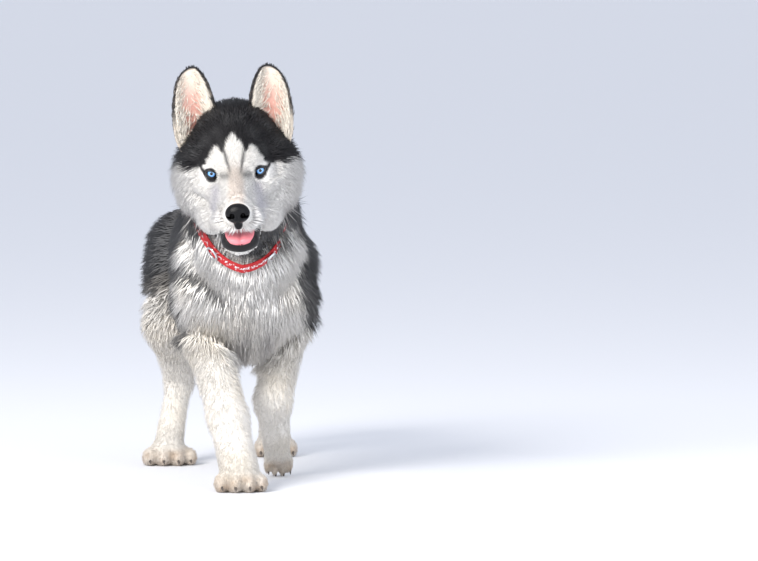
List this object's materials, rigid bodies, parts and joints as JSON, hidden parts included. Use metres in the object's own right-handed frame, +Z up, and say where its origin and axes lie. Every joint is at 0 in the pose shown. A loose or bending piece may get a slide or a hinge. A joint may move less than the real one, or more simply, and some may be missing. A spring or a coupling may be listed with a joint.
{
  "type": "siberian husky puppy figure",
  "caption": "Life-size still figure of a walking black-and-white sled dog puppy with pricked ears, open mouth and a red collar.",
  "frame": {"origin": "on the floor, under the middle of the bounding box", "axes": "+Z up, the dog walks towards -Y, its left side is +X"},
  "size_m": [0.237, 0.6732, 0.5302],
  "materials": {
    "face_coat": "short dense fur, white with a black cap",
    "dark_coat": "black-grey guard hair over a pale undercoat",
    "ruff": "long ruff, black to grey-brown and cream",
    "pale_coat": "dense cream-white fur",
    "ear": "pale fur over pink skin, black rim and back",
    "nose": "moist fine-grained black",
    "tongue": "moist pink",
    "eye": "clear wet cornea over a light blue iris",
    "webbing": "red woven nylon, lightly frosted",
    "metal": "polished steel ring and slide"
  },
  "bodies": {
    "root": {"head": "face_coat", "lower_jaw": "face_coat", "nose": "nose", "tongue": "tongue", "ear_left": "ear", "ear_right": "ear", "eye_left": "eye", "eye_right": "eye", "neck": "ruff", "torso": "dark_coat", "tail": "dark_coat", "foreleg_left": "pale_coat", "foreleg_right": "pale_coat", "forepaw_left": "pale_coat", "forepaw_right": "pale_coat", "hindleg_left": "pale_coat", "hindleg_right": "pale_coat", "hindpaw_left": "pale_coat", "hindpaw_right": "pale_coat", "collar": "webbing", "collar_ring": "metal", "collar_slide": "metal"}
  },
  "joints": []
}
